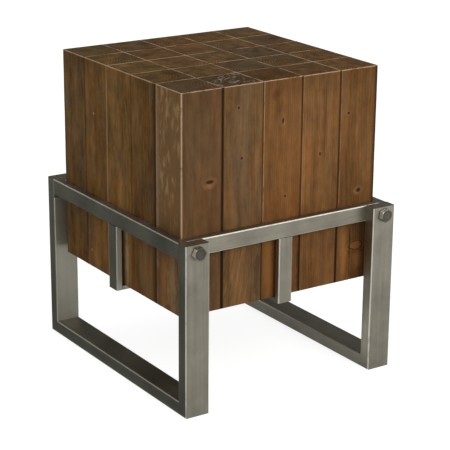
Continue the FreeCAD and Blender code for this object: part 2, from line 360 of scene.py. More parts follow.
# Steel tones, and the direction of its mill streaks.
STEEL = (0.301, 0.282, 0.229)
# Colour of rubbed steel edges, which also serves as painted highlight on them.
RUBBED_STEEL_AND_HIGHLIGHT = (0.84, 0.81, 0.73, 1.0)
DARK_STEEL = (0.098, 0.09, 0.072)
# Lighter, matte steel laid on the front faces of some parts as painted light.
FRONT_LIGHT_STEEL = (0.42, 0.4, 0.335, 1.0)
STEEL_STOPS = ((0.32, 0.72, 1.04), (0.5, 1.0, 1.0), (0.68, 1.24, 0.97))
UPRIGHT = Pattern((170, 170, 5), 4, 0.6)
LENGTHWAYS = Pattern((170, 5, 170), 4, 0.6)
SIDEWAYS = Pattern((5, 170, 170), 4, 0.6)
EVERY_WAY = Pattern((220, 220, 220), 4, 0.6)
WELD_WAY = Pattern((240, 240, 240), 4, 0.6)
STREAK_TONE = 0.36
CLOUD_TONE = 0.64
CLOUD_ROUGH = 0.18
SPECK_ROUGH = 0.08
STEEL_RELIEF = (0.1, 0.0003)
# Where steel has rubbed edges that are partly painted highlights: where its surface turns, or by the layer of
# wear and painted highlight on the bolts.
TURNING = "turning"
WEAR_AND_HIGHLIGHT_LAYER = "wear"

# Bolts, in metres and degrees: turn of each head by (side, end), then sizes.
BOLT_TURNS = {(-1, -1): 6.0, (1, -1): 22.0, (-1, 1): 41.0, (1, 1): 13.0}
BOLT_SEGMENTS = 72
BOLT_SHANK = 0.006
BOLT_SHANK_LENGTH = 0.04
BOLT_CHAMFER = 0.0013
CHAMFER_STEPS = 5
CHAMFER_RIM = 0.98
CHAMFER_HIGHLIGHT = 0.5
WASHER_RIM = 0.96
WASHER_HEIGHT = 0.0007
HEX_FOOT = (0.0009, 0.0014)
# Rings on a head's top as (share of the half width, depth, rubbed).
HEAD_RINGS = ((0.95, 0.0, 0.14), (0.9, 0.0, 0.08), (0.84, 0.0005, 0.0), (0.35, 0.0008, 0.04))
HEX_ANGLE = 60.0
# Painted highlight of a head: the direction of its lit upper left flats, and what the other flats keep.
BRIGHT_FLAT = 160.0
DULL_FLAT = 0.02
BOLT_SHARP = 28.0

# Floor, and cards that paint dark and bright reflections into the steel.
FLOOR_REACH = 30.0
FLOOR_LEVEL = -0.0003
FLOOR_COLOUR = (0.34, 0.34, 0.34, 1.0)
FLOOR_SHOWN = 0.84
FLOOR_MIRRORED = 0.23
FLOOR_BOUNCED = 0.25
CARD_LEVEL = 0.001
CARD_GAP = 0.002
# Colours of the cards that paint dark and bright reflections into the steel.
CARD_COLOURS = {
    "card_left": (0.134, 0.147, 0.138, 1.0),
    "card_back": (0.078, 0.08, 0.07, 1.0),
    "card_grey": (0.36, 0.37, 0.36, 1.0),
    "card_pale": (0.52, 0.52, 0.51, 1.0),
    "card_white": (0.72, 0.72, 0.71, 1.0),
    "card_bright": (1.75, 1.75, 1.7, 1.0),
}
# Corners of the bright card under the block, a painted reflection for the back legs' front faces.
UNDER_CORNERS = ((-0.2, -0.25), (0.12, -0.25), (0.1, -0.2), (0.03, -0.06), (-0.2, -0.06))
# Lights as (name, place, width, height, power, colour, whether it shows in reflections).
LIGHTS = (
    ("key", (0.5, -3.0, 2.4), 1.5, 1.5, 39.5, (1.0, 0.985, 0.96), False),
    ("panel", (0.8, -3.3, 0.75), 3.2, 1.4, 24.0, (1.0, 0.99, 0.97), True),
    ("overhead", (0.3, 0.4, 3.2), 1.8, 1.8, 8.0, (1.0, 1.0, 1.0), False),
    ("fill", (-2.8, -0.5, 1.1), 1.8, 1.8, 2.5, (1.0, 1.0, 0.97), False),
)
LIT_POINT = Vector((0.0, 0.0, 0.35))
WHITE = (1.0, 1.0, 1.0, 1.0)
SURROUND_LIT = 0.66
SURROUND_SHOWN = 1.0


class Graph:
    """The node tree of a material or of the surround, with one short call per node."""

    def __init__(self, name, owners=bpy.data.materials, output="OutputMaterial"):
        self.owner = owners.new(name)
        self.owner.use_nodes = True
        self.tree = self.owner.node_tree
        self.tree.nodes.clear()
        self.output = self.node(output, {})

    def node(self, kind, inputs, **settings):
        """A new node, with links or fixed values on its inputs."""
        made = self.tree.nodes.new("ShaderNode" + kind)
        for key, value in settings.items():
            setattr(made, key, value)
        for key, value in inputs.items():
            if isinstance(value, bpy.types.NodeSocket):
                self.tree.links.new(value, made.inputs[key])
            else:
                made.inputs[key].default_value = value
        return made

    def finish(self, shader):
        self.tree.links.new(shader, self.output.inputs[0])
        return self.owner

    def shader(self, kind, **values):
        inputs = {key.replace("_", " "): value for key, value in values.items()}
        return self.node(kind, inputs).outputs[0]

    def principled(self, **values):
        return self.finish(self.shader("BsdfPrincipled", **values))

    def joined(self, kind, *values):
        """A node that joins shaders, with its inputs in order."""
        return self.node(kind, dict(enumerate(values))).outputs[0]

    def math(self, operation, *values):
        return self.node("Math", dict(enumerate(values)), operation=operation).outputs[0]

    def line(self, value, slope, start):
        """A value times a slope, plus a start."""
        return self.math("MULTIPLY_ADD", value, slope, start)

    def product(self, first, *others):
        for value in others:
            first = self.math("MULTIPLY", first, value)
        return first

    def blend(self, first, *others):
        """A sum of values, each given with its share."""
        total = self.product(*first)
        for value, share in others:
            total = self.line(value, share, total)
        return total

    def band(self, value, band):
        """0 before the band's start, and the band's strength after its end."""
        inputs = {"Value": value, "From Min": band.start, "From Max": band.end, "To Max": band.strength}
        return self.node("MapRange", inputs, interpolation_type="SMOOTHSTEP").outputs[0]

    def vector(self, operation, first, *second):
        made = self.node("VectorMath", dict(enumerate((first, *second))), operation=operation)
        return made.outputs["Value" if operation == "LENGTH" else "Vector"]

    def scaled(self, first, factor):
        inputs = {0: first, "Scale": factor}
        return self.node("VectorMath", inputs, operation="SCALE").outputs["Vector"]

    def turned(self, place, angle):
        inputs = {"Vector": place, "Angle": radians(-angle)}
        return self.node("VectorRotate", inputs, rotation_type="Z_AXIS").outputs[0]

    def noise(self, place, pattern, output="Fac"):
        inputs = {
            "Vector": self.vector("MULTIPLY", place, pattern.pace),
            "Scale": 1.0,
            "Detail": pattern.detail,
            "Roughness": pattern.roughness,
        }
        return self.node("TexNoise", inputs).outputs[output]

    def marks(self, place, pattern):
        """Noise that shows only between the pattern's two values."""
        return self.band(self.noise(place, pattern), pattern)

    def ramp(self, value, stops):
        made = self.node("ValToRGB", {0: value})
        while len(made.color_ramp.elements) < len(stops):
            made.color_ramp.elements.new(0.5)
        for element, (place, colour) in zip(made.color_ramp.elements, stops):
            element.position = place
            element.color = colour
        return made.outputs[0]

    def mix(self, share, first, second, blend="MIX"):
        inputs = {0: share, 6: first, 7: second}
        return self.node("Mix", inputs, data_type="RGBA", blend_type=blend).outputs[2]

    def attribute(self, name):
        return self.node("Attribute", {}, attribute_name=name).outputs["Fac"]

    def object_place(self):
        return self.node("TexCoord", {}).outputs["Object"]

    def light_path(self):
        return self.node("LightPath", {}).outputs

    def parts(self, vector):
        return self.node("SeparateXYZ", {0: vector}).outputs

    def normal(self, output="Normal"):
        return self.node("NewGeometry", {}).outputs[output]

    def turning_edge(self):
        """1 where the surface turns from one flat of a straight bar to the next, 0 on the flats."""
        parts = self.parts(self.vector("ABSOLUTE", self.normal("True Normal")))
        most = self.math("MAXIMUM", parts[0], parts[1])
        return self.band(self.math("MAXIMUM", most, parts[2]), FLAT_END)

    def bump(self, height, strength, distance):
        inputs = {"Height": height, "Strength": strength, "Distance": distance}
        return self.node("Bump", inputs).outputs[0]


def unit_noise(*place):
    """Smooth noise from -1 to 1."""
    return noise.noise(Vector(place))


def half_noise(*place):
    """Smooth noise from 0 to 1."""
    return 0.5 + 0.5 * unit_noise(*place)


def fade(distance, band):
    """1 at no distance, falling to 0 at the band's width."""
    return max(0.0, 1.0 - max(0.0, distance) / band)


def join_rings(made, rings):
    """Faces between each ring of vertices and the next."""
    for lower, upper in zip(rings, rings[1:]):
        for index in range(len(lower)):
            after = (index + 1) % len(lower)
            made.faces.new((lower[index], lower[after], upper[after], upper[index]))


def new_object(name, data):
    made = bpy.data.objects.new(name, data)
    bpy.context.scene.collection.objects.link(made)
    return made


def new_piece(name, made, material, slot, *stands_for):
    """Turns a finished bmesh into a piece of the object."""
    mesh = bpy.data.meshes.new(name)
    made.to_mesh(mesh)
    made.free()
    mesh.materials.append(material)
    mesh.shade_smooth()
    piece = new_object(name, mesh)
    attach(piece, ROOT)
    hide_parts(*stands_for)
    return piece


# Shape of the timber posts
def post_name(row, column):
    return f"post_row{row}_col{column}"


def exposed_sides(row, column):
    """Whether the front, right, back and left side of a post lies on the block's outside."""
    return (row == 1, column == POSTS, row == POSTS, column == 1)


def corner_sides(corner):
    """The two sides of a post that meet at a corner."""
    return corner, (corner + 3) % SIDES


def corner_look(row, column, corner):
    """The look of a post's upright edge, with its rounding in metres."""
    exposed = exposed_sides(row, column)
    outside = [exposed[side] for side in corner_sides(corner)]
    if all(outside):
        return Edge(EDGE_DARK[corner], EDGE_RUB[corner], CORNER_ROUND, EDGE_WIDTH)
    if not any(outside):
        return HIDDEN_EDGE
    look = OTHER_SEAM
    if row == 1 and corner in FRONT_CORNERS:
        look = FRONT_SEAMS[column - 2 + corner]
    elif column == 1 and corner in LEFT_CORNERS:
        look = LEFT_SEAMS[row - 2 + corner // 3]
    look = OWN_EDGES.get((row, column, corner), look)
    return look._replace(round=SEAM_ROUND * look.round)


def worn_round(base, outer, height, seed):
    """An edge's rounding at one height, with slow wear and a few nicks on the block's own edges."""
    slow = 1.0 + SLOW_WEAR * unit_noise(seed, WEAR_ROW, height * WEAR_PACE)
    if not outer:
        return base * slow
    nick = max(0.0, unit_noise(seed, NICK_ROW, height * NICK_PACE) - NICK_START)
    return base * slow + NICK * nick


def post_loop(low, high, radii, inset):
    """One loop of points round a post, with the side and place on that side of each."""
    corners = [
        Vector((low.x + inset, low.y + inset)),
        Vector((high.x - inset, low.y + inset)),
        Vector((high.x - inset, high.y - inset)),
        Vector((low.x + inset, high.y - inset)),
    ]
    points = []
    for side in range(SIDES):
        after = (side + 1) % SIDES
        along = (corners[after] - corners[side]).normalized()
        inward = Vector((-along.y, along.x))
        start = corners[side] + along * radii[side]
        end = corners[after] - along * radii[after]
        for share in SIDE_SHARES:
            points.append((start.lerp(end, share), side, share))
        centre = corners[after] + (inward - along) * radii[after]
        for step in range(1, ARC_STEPS):
            angle = pi / 2 * step / ARC_STEPS
            turn = along * sin(angle) - inward * cos(angle)
            points.append((centre + turn * radii[after], side, 1.0 + step / ARC_STEPS))
    return points


def post_levels(bottom, top):
    """Heights of a post's loops with the rounding of its two ends, as (height, inset, corner share)."""
    floor = bottom + TOP_ROUND
    ceiling = top - TOP_ROUND
    first = floor + END_LEVELS[-1]
    last = ceiling - END_LEVELS[-1]
    turns = []
    for step in range(ARC_STEPS + 1):
        angle = pi / 2 * step / ARC_STEPS
        turns.append((TOP_ROUND * sin(angle), TOP_ROUND * (1.0 - cos(angle)), cos(angle)))
    levels = [(floor - rise, inset, share) for rise, inset, share in reversed(turns)]
    levels += [(floor + depth, 0.0, 1.0) for depth in END_LEVELS]
    levels += [(first + (last - first) * step / LEVELS, 0.0, 1.0) for step in range(1, LEVELS)]
    levels += [(ceiling - depth, 0.0, 1.0) for depth in reversed(END_LEVELS)]
    levels += [(ceiling + rise, inset, share) for rise, inset, share in turns]
    return levels


class PostShape:
    """The mesh of one post, with eased, slightly worn edges and gently uneven faces."""

    def __init__(self, row, column):
        self.low, self.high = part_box(post_name(row, column))
        self.exposed = exposed_sides(row, column)
        self.looks = [corner_look(row, column, corner) for corner in range(SIDES)]
        self.outer = [all(self.exposed[side] for side in corner_sides(corner)) for corner in range(SIDES)]
        self.seed = row * MESH_SEED[0] + column * MESH_SEED[1]
        self.shifts = []
        for side in range(SIDES):
            self.shifts.append(FACE_STEP * half_noise(self.seed, side * SHIFT_ROW[0], SHIFT_ROW[1]))
        self.drop = TOP_STEP * half_noise(self.seed, *DROP_ROW)
        self.made = bmesh.new()
        self.wear = self.made.verts.layers.float.new("wear")
        self.seam_and_shade = self.made.verts.layers.float.new("seam_and_shade")

    def marks(self, place):
        """How rubbed a point is, and how dark from a seam and, on the block's front right edge, from painted
        shade, each from 0 to 1.
        """
        before = place - self.low
        beyond = self.high - place
        gaps = (before.y, beyond.x, beyond.y, before.x)
        near_top = fade(beyond.z - TOP_ROUND, RIM_BAND)
        wear = 0.0
        seam_and_shade = 0.0
        for side in range(SIDES):
            rub = RIM_RUB[side] if self.exposed[side] else TOP_SEAM_RUB
            wear = max(wear, rub * min(near_top, fade(gaps[side] - TOP_ROUND, RIM_BAND)))
        for corner, look in enumerate(self.looks):
            near, far = sorted(gaps[side] for side in corner_sides(corner))
            if near > look.round + FACE_STEP or beyond.z < TOP_ROUND / 2:
                continue
            along = far - look.round
            # Dark band beside a seam, and painted shade beside the block's front right edge.
            seam_and_shade = max(seam_and_shade, look.dark * fade(along, SEAM_AND_SHADE_BAND * look.width))
            if self.outer[corner]:
                wear = max(wear, look.pale * fade(along, RIM_BAND))
            elif corner in PALE_CORNERS:
                wear = max(wear, look.pale * fade(abs(along - PALE_LINE), PALE_BAND))
        return wear, seam_and_shade

    def vertex(self, flat, height):
        place = Vector((flat.x, flat.y, height))
        wear, seam_and_shade = self.marks(place)
        place.z -= self.drop * (height - self.low.z) / (self.high.z - self.low.z)
        new = self.made.verts.new(place)
        new[self.wear] = wear
        new[self.seam_and_shade] = seam_and_shade
        return new

    def hollow(self, side, share, height):
        """How far an outer face lies in from its flat at one point."""
        crown = 4.0 * share * (1.0 - share)
        wave = half_noise(self.seed + side * SIDE_SEED, share * WAVE_PACE[0], height * WAVE_PACE[1])
        return FACE_WAVE * wave * crown + self.shifts[side] * min(1.0, crown * SHIFT_RISE)

    def ring(self, height, inset, corner_share):
        """One loop of vertices round the post."""
        radii = []
        for corner, look in enumerate(self.looks):
            size = worn_round(look.round, self.outer[corner], height, self.seed + corner * CORNER_SEED)
            radii.append(size * corner_share)
        loop = []
        for flat, side, share in post_loop(self.low, self.high, radii, inset):
            if share <= 1.0 and self.exposed[side]:
                flat = flat + INWARD[side] * self.hollow(side, share, height)
            loop.append(self.vertex(flat, height))
        return loop

    def end_cap(self, ring, height, seed, flip):
        """A grid of faces that closes one end of the post, slightly dished."""
        last = len(SIDE_SHARES) - 1
        stride = len(SIDE_SHARES) + ARC_STEPS - 1
        grid = {}
        for index in range(last + 1):
            grid[index, 0] = ring[index]
            grid[last, index] = ring[stride + index]
            grid[last - index, last] = ring[2 * stride + index]
            grid[0, last - index] = ring[3 * stride + index]
        left = grid[0, 0].co
        right = grid[last, last].co
        for column in range(1, last):
            for row in range(1, last):
                x = left.x + (right.x - left.x) * SIDE_SHARES[column]
                y = left.y + (right.y - left.y) * SIDE_SHARES[row]
                dish = DISH * half_noise(x * DISH_PACE, y * DISH_PACE, seed)
                grid[column, row] = self.vertex(Vector((x, y)), height + (dish if flip else -dish))
        for column in range(last):
            for row in range(last):
                corners = [grid[column + over, row + up] for over, up in SQUARE]
                self.made.faces.new(reversed(corners) if flip else corners)

    def build(self):
        rings = [self.ring(*level) for level in post_levels(self.low.z, self.high.z)]
        join_rings(self.made, rings)
        self.end_cap(rings[-1], self.high.z, self.seed, False)
        self.end_cap(rings[0], self.low.z, self.seed + FOOT_SEED, True)
        bmesh.ops.remove_doubles(self.made, verts=self.made.verts, dist=MERGE)
        bmesh.ops.recalc_face_normals(self.made, faces=self.made.faces)
        return self.made


# Material of the timber posts
def post_value(post, front, left=()):
    """A post's own value, from the front row's list, whose last is for the others, or the left column's."""
    row, column = post
    if row == 1:
        return front[column - 1]
    if column == 1 and left:
        return left[row - 2]
    return front[-1]


def post_stops(tone, steps):
    """Ramp stops of a tone from dark to pale grain."""
    stops = []
    for place, share, warm in steps:
        stops.append((place, (tone[0] * share * warm, tone[1] * share, tone[2] * share / warm, 1.0)))
    return stops


def dimmed(colour, share):
    return (colour[0] * share, colour[1] * share, colour[2] * share, 1.0)


class Timber(Graph):
    """Stained softwood of one post, laid on in turn from the grain to the rubbed edges."""

    def __init__(self, row, column):
        self.post = (row, column)
        self.low, self.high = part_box(post_name(row, column))
        self.seed = row * GRAIN_SEED[0] + column * GRAIN_SEED[1]
        self.grain = FRONT_ROW if row == 1 else OTHER_ROWS
        super().__init__(f"timber_{row}_{column}")
        self.place = self.object_place()
        self.height = self.parts(self.place)[2]
        self.end = self.band(self.math("ABSOLUTE", self.parts(self.normal())[2]), FACES_UP)
        self.knots = [self.spot(*knot) for knot in self.own(KNOTS)]

    def own(self, table):
        """The entries of a table for this post, without its row and column."""
        return [entry[2:] for entry in table if entry[:2] == self.post]

    def spot(self, face, along, height, half_width, half_height):
        """The offset from a spot's centre and the distance from it, with 1 at the spot's rim."""
        inward = 1 if face in ("front", "back") else 0
        centre = [along * MM, along * MM, height * MM]
        centre[inward] = (self.low if face in ("front", "left") else self.high)[inward]
        scale = [1.0 / (size * MM) for size in (half_width, half_width, half_height)]
        scale[inward] = 1.0 / KNOT_DEPTH
        offset = self.vector("SUBTRACT", self.place, centre)
        return offset, self.vector("LENGTH", self.vector("MULTIPLY", offset, scale))

    def shifted(self, place, shift):
        """A place moved to the post's own part of the noise."""
        return self.vector("ADD", place, [self.seed * part for part in shift])

    def paint(self, share, colour, strength=1.0):
        """Lays a colour over the timber."""
        if strength != 1.0:
            share = self.product(share, strength)
        self.colour = self.mix(share, self.colour, colour)

    def tint(self, share, factor, strength=1.0):
        """Multiplies the timber's colour by a factor."""
        self.paint(share, self.mix(1.0, self.colour, factor, "MULTIPLY"), strength)

    def lay_flow(self):
        """Grain that wanders along the post and parts round the knots."""
        warp = self.noise(self.shifted(self.place, WARP_SHIFT), WARP, "Color")
        warp = self.vector("SUBTRACT", warp, (0.5, 0.5, 0.5))
        self.warp = self.vector("MULTIPLY", warp, (WANDER, WANDER, 0.0))
        self.flow = self.vector("ADD", self.place, self.scaled(self.warp, FLOW_WANDER))
        for offset, distance in self.knots:
            push = self.scaled(offset, self.band(distance, KNOT_PARTING))
            self.flow = self.vector("ADD", self.flow, self.vector("MULTIPLY", push, ACROSS))
        self.local = self.shifted(self.flow, GRAIN_SHIFT)

    def lay_rings(self):
        """Growth rings round a pith that lies off the post's middle."""
        pith_x = (self.low.x + self.high.x) / 2 + PITH_OFFSET * sin(self.seed * PITH_TURNS[0])
        pith_y = (self.low.y + self.high.y) / 2 + PITH_OFFSET * cos(self.seed * PITH_TURNS[1])
        from_pith = self.vector("SUBTRACT", self.vector("ADD", self.flow, self.warp), (pith_x, pith_y, 0.0))
        radius = self.vector("LENGTH", self.vector("MULTIPLY", from_pith, ACROSS))
        ring = self.math("FRACT", self.product(radius, RINGS_PER_METRE))
        self.late = self.product(self.band(ring, LATE_RISE), self.band(ring, LATE_FALL))

    def lay_tone(self):
        """Fibres, streaks and a mottled stain, in brown tones that turn to orange."""
        row, column = self.post
        self.fibre = self.noise(self.local, FIBRE)
        self.mottle = self.noise(self.local, MOTTLE)
        value = self.blend(
            (self.noise(self.local, self.grain.pattern), GRAIN_SHARE - self.grain.blotch),
            (self.fibre, FIBRE_SHARE),
            (self.mottle, self.grain.blotch),
            (self.noise(self.local, ZONE), ZONE_SHARE),
            (self.late, LATE_SHARE),
        )
        contrast = post_value(self.post, CONTRASTS)
        value = self.line(value, contrast, 0.5 - MIDDLE_VALUE * contrast)
        other = OTHER_TONES[(row * 2 + column * 3) % len(OTHER_TONES)]
        tone = post_value(self.post, (*FRONT_TONES, other), LEFT_TONES)
        brown = self.ramp(value, post_stops(tone, BROWN))
        orange = self.ramp(value, post_stops(tone, ORANGE))
        hue = self.line(self.height, HUE_FALL, self.noise(self.local, HUE))
        self.colour = self.mix(self.band(hue, HUE), brown, orange)

    def lay_sapwood(self):
        """Pale sapwood in flecks on the left side, mostly above the frame."""
        side = self.band(self.parts(self.normal())[0], FACES_AWAY)
        above = self.math("ADD", self.band(self.height, SAPWOOD_RISE), SAPWOOD_LOW)
        where = self.product(side, above)
        self.paint(where, SAPWOOD, SAPWOOD_SHARE)
        curled = self.vector("ADD", self.local, self.scaled(self.warp, FLECK_WANDER))
        flecks = self.product(self.marks(curled, FLECKS), self.marks(self.local, FLECK_PATCHES))
        self.paint(self.product(where, flecks), SAPWOOD_FLECK)

    def lay_weather(self):
        """Grey weathering in long streaks, dark pores and short checks, then warm and cool patches."""
        self.pores = self.marks(self.local, PORES)
        self.checks = self.marks(self.local, CHECKS)
        self.paint(self.marks(self.local, WEATHERING), GREY_STREAK, post_value(self.post, GREYS))
        self.paint(self.pores, KNOT_DARK, PORE_SHARE)
        self.paint(self.checks, SEAM_AND_SHADE_DARK, CHECK_SHARE)
        if self.grain.dark:
            self.paint(self.marks(self.local, DARK_STREAKS), DARK_STREAK, self.grain.dark)
        self.tint(self.marks(self.local, WARM_PATCHES), WARM_PATCH, self.grain.warm)
        self.paint(self.marks(self.local, COOL_STREAKS), COOL_STREAK, self.grain.cool)

    def lay_height_darkening(self):
        """Darker on the sides near the top edge and in the lower part, from above the frame down."""
        height_dark = self.math("MAXIMUM", self.band(self.height, DARK_NEAR_TOP), self.band(self.height, DARK_LOWER_DOWN))
        height_dark = self.product(height_dark, self.math("SUBTRACT", 1.0, self.end))
        self.tint(height_dark, HEIGHT_DARK_TINT, post_value(self.post, DARKENING, LEFT_DARKENING))

    def lay_slanting_streaks(self):
        """Thin dark and pale streaks that slant across the foot of the post."""
        slanted = self.vector("ADD", self.place, self.scaled((SLANT, 0.0, 0.0), self.height))
        foot = self.band(self.height, SLANTED_FOOT)
        for strokes, colour in ((DARK_STROKES, DARK_STREAK), (PALE_STROKES, STRAW)):
            self.paint(self.product(self.marks(slanted, strokes), foot), colour)

    def lay_stains_and_painted_light(self):
        """Stains with a ragged rim, and patches of painted light that lighten shade beside a leg and the
        hangers.
        """
        for *spot, colour, strength in self.own(STAINS_AND_PAINTED_LIGHT):
            ragged = self.line(self.mottle, STAIN_RAGGED, self.spot(*spot)[1])
            self.paint(self.band(ragged, STAIN_RIM), colour, strength)

    def lay_curls(self):
        """Thin dark arcs of grain round a branch, over a warm patch."""
        for curl in self.own(CURLS):
            distance = self.line(self.noise(self.place, SWIRL), SWIRL.strength, self.spot(*curl)[1])
            self.paint(self.band(distance, CURL_GLOW), AMBER)
            wave = self.math("SINE", self.product(distance, CURL_PACE))
            line = self.product(
                self.band(self.math("ABSOLUTE", wave), CURL_LINE),
                self.band(distance, CURL_OUTSIDE),
                self.band(distance, CURL_INSIDE),
                self.band(self.mottle, CURL_GAPS),
            )
            self.paint(line, KNOT_DARK)

    def lay_knots(self):
        """Dark knots with a warm halo."""
        for _, distance in self.knots:
            ragged = self.line(self.mottle, KNOT_RAGGED, distance)
            self.paint(self.band(ragged, KNOT_RIM), KNOT_HALO)
            core = self.math("ADD", self.fibre, distance)
            self.paint(self.band(core, KNOT_CORE), KNOT_DARK)

    def lay_end_grain(self):
        """End grain on the top and bottom, darker than the sides, with scratches."""
        bright = post_value(self.post, ENDS)
        shade = self.mix(self.late, dimmed(EARLY_END, bright), dimmed(LATE_END, bright))
        hue = self.mix(self.marks(self.place, END_HUE), WARM_END, COOL_END)
        self.tint(self.end, self.mix(1.0, shade, hue, "MULTIPLY"))
        scratches = DEEP_SCRATCHES if self.post == SCRATCHED_POST else SCRATCHES
        for angle in SCRATCH_ANGLES:
            scratch = self.marks(self.turned(self.place, angle), scratches)
            self.paint(self.product(scratch, self.end), SCRATCH)

    def lay_edges(self):
        """Rubbed pale edges, dark seams and painted shade on the front right edge, with less rubbing and
        darker seams low on the front.
        """
        side_rub = self.marks(self.local, SIDE_RUB)
        top_rub = self.marks(self.place, TOP_RUB)
        rub = self.line(self.math("SUBTRACT", top_rub, side_rub), self.end, side_rub)
        wear = self.product(self.attribute("wear"), rub)
        seam_and_shade = self.attribute("seam_and_shade")
        if self.grain is FRONT_ROW:
            below = self.band(self.height, BELOW_FRAME)
            wear = self.product(wear, self.line(below, LOW_WEAR, 1.0))
            seam_and_shade = self.product(seam_and_shade, self.line(below, LOW_SEAM, 1.0))
        self.paint(self.band(wear, WEAR_SHOWS), self.mix(self.end, PALE_EDGE, PALE_TOP))
        # Dark seams, and painted shade along the block's front right edge.
        ragged = self.line(self.mottle, *SEAM_AND_SHADE_RAGGED)
        self.paint(self.product(seam_and_shade, ragged), SEAM_AND_SHADE_DARK)

    def material(self):
        """The finished material, with fibres, pores, checks and knots in low relief."""
        relief = self.blend(
            (self.late, LATE_RELIEF),
            (self.fibre, FIBRE_RELIEF),
            (self.pores, PORE_RELIEF),
            (self.checks, CHECK_RELIEF),
        )
        for _, distance in self.knots:
            relief = self.math("ADD", relief, self.band(distance, KNOT_DIP))
        return self.principled(
            Base_Color=self.colour,
            Roughness=self.line(self.fibre, *TIMBER_ROUGH),
            Specular_IOR_Level=TIMBER_GLOSS,
            Normal=self.bump(relief, *TIMBER_RELIEF),
        )


def timber_material(row, column):
    """The material of one post."""
    timber = Timber(row, column)
    timber.lay_flow()
    timber.lay_rings()
    timber.lay_tone()
    if timber.post == SAPWOOD_POST:
        timber.lay_sapwood()
    timber.lay_weather()
    timber.lay_height_darkening()
    if timber.post == SLANTED_POST:
        timber.lay_slanting_streaks()
    timber.lay_stains_and_painted_light()
    timber.lay_curls()
    timber.lay_knots()
    timber.lay_end_grain()
    timber.lay_edges()
    return timber.material()


def build_posts():
    """The twenty-five posts of the block."""
    for row in range(1, POSTS + 1):
        for column in range(1, POSTS + 1):
            node = post_name(row, column)
            made = PostShape(row, column).build()
            piece = new_piece(f"timber_{node}", made, timber_material(row, column), "timber", node)
            even = piece.modifiers.new("even_normals", "WEIGHTED_NORMAL")
            even.keep_sharp = True
            even.weight = EVEN_NORMALS


def tongue_material():
    """Plain straight-grained timber of the loose tongues."""
    graph = Graph("tongue_timber")
    grain = graph.noise(graph.object_place(), TONGUE_GRAIN)
    return graph.principled(
        Base_Color=graph.ramp(grain, TONGUE_STOPS),
        Roughness=graph.line(grain, *TONGUE_ROUGH),
        Normal=graph.bump(grain, *TONGUE_RELIEF),
    )


# Steel frame
def steel_material(
    name, streaks, tone=STEEL, roughness=0.28, edge=TURNING, shine=0.95, rub=BAR_RUB_AND_HIGHLIGHT, lit_front=0.0
):
    """Satin steel with mill streaks, cloudy patches, rubbed edges that are partly painted highlights, and
    front faces painted lighter and matte where asked, as painted light.
    """
    graph = Graph(name)
    place = graph.object_place()
    streak = graph.noise(place, streaks)
    cloud = graph.noise(place, STEEL_CLOUDS)
    speck = graph.noise(place, STEEL_SPECKS)
    stops = []
    for position, share, cool in STEEL_STOPS:
        stops.append((position, (tone[0] * share, tone[1] * share, tone[2] * share * cool, 1.0)))
    colour = graph.ramp(graph.blend((streak, STREAK_TONE), (cloud, CLOUD_TONE)), stops)
    if edge:
        # Lighter edges: partly rubbed steel, partly painted highlight.
        bright = graph.turning_edge() if edge == TURNING else graph.attribute(edge)
        rubbed = graph.marks(place, rub._replace(strength=shine))
        colour = graph.mix(graph.product(bright, rubbed), colour, RUBBED_STEEL_AND_HIGHLIGHT)
    metallic = 1.0
    # Front faces painted lighter and less metallic: painted light.
    if lit_front:
        away = FACES_AWAY._replace(strength=lit_front)
        front = graph.band(graph.parts(graph.normal())[1], away)
        colour = graph.mix(front, colour, FRONT_LIGHT_STEEL)
        metallic = graph.math("SUBTRACT", 1.0, front)
    rough = graph.line(speck, SPECK_ROUGH, roughness)
    relief = graph.blend((speck, 0.5), (streak, 0.5))
    return graph.principled(
        Base_Color=colour,
        Metallic=metallic,
        Roughness=graph.line(cloud, CLOUD_ROUGH, rough),
        Normal=graph.bump(relief, *STEEL_RELIEF),
    )


def dress(material, *names):
    """Gives carried-over nodes their material."""
    for name in names:
        thing = nodes[name]
        if not thing.material_slots:
            thing.data.materials.append(material)
        for slot in thing.material_slots:
            slot.material = material


def dress_frame():
    """The finish of the steel frame, the lag screws and the hidden tongues."""
    upright = steel_material("steel_upright", UPRIGHT)
    # Side hangers and back legs: copies of the upright steel with front faces painted lighter, as painted
    # light.
    side_hanger = steel_material("steel_side_hanger", UPRIGHT, lit_front=0.85)
    back_leg = steel_material("steel_back_leg", UPRIGHT, lit_front=0.45)
    lengthways = steel_material("steel_lengthways", LENGTHWAYS, shine=0.35)
    across = steel_material("steel_across", SIDEWAYS)
    weld = steel_material("steel_weld", WELD_WAY, roughness=0.34, edge=None)
    screw = steel_material("steel_screw", EVERY_WAY, DARK_STEEL, roughness=0.3, edge=None)
    dress(upright, "front_left_leg", "front_right_leg", "leg_caps", "front_hanger", "back_hanger")
    dress(back_leg, "back_left_leg", "back_right_leg")
    dress(side_hanger, "right_hanger", "left_hanger")
    dress(lengthways, "left_sled_rail", "right_sled_rail", "left_top_rail", "right_top_rail")
    dress(lengthways, "front_foot_plate", "back_foot_plate")
    dress(across, "front_crossbar", "back_crossbar", "crossbar_plugs")
    dress(across, "left_foot_plate", "right_foot_plate")
    dress(weld, "corner_welds")
    dress(screw, "lag_screws")
    dress(tongue_material(), "tongues_across", "tongues_front_to_back")


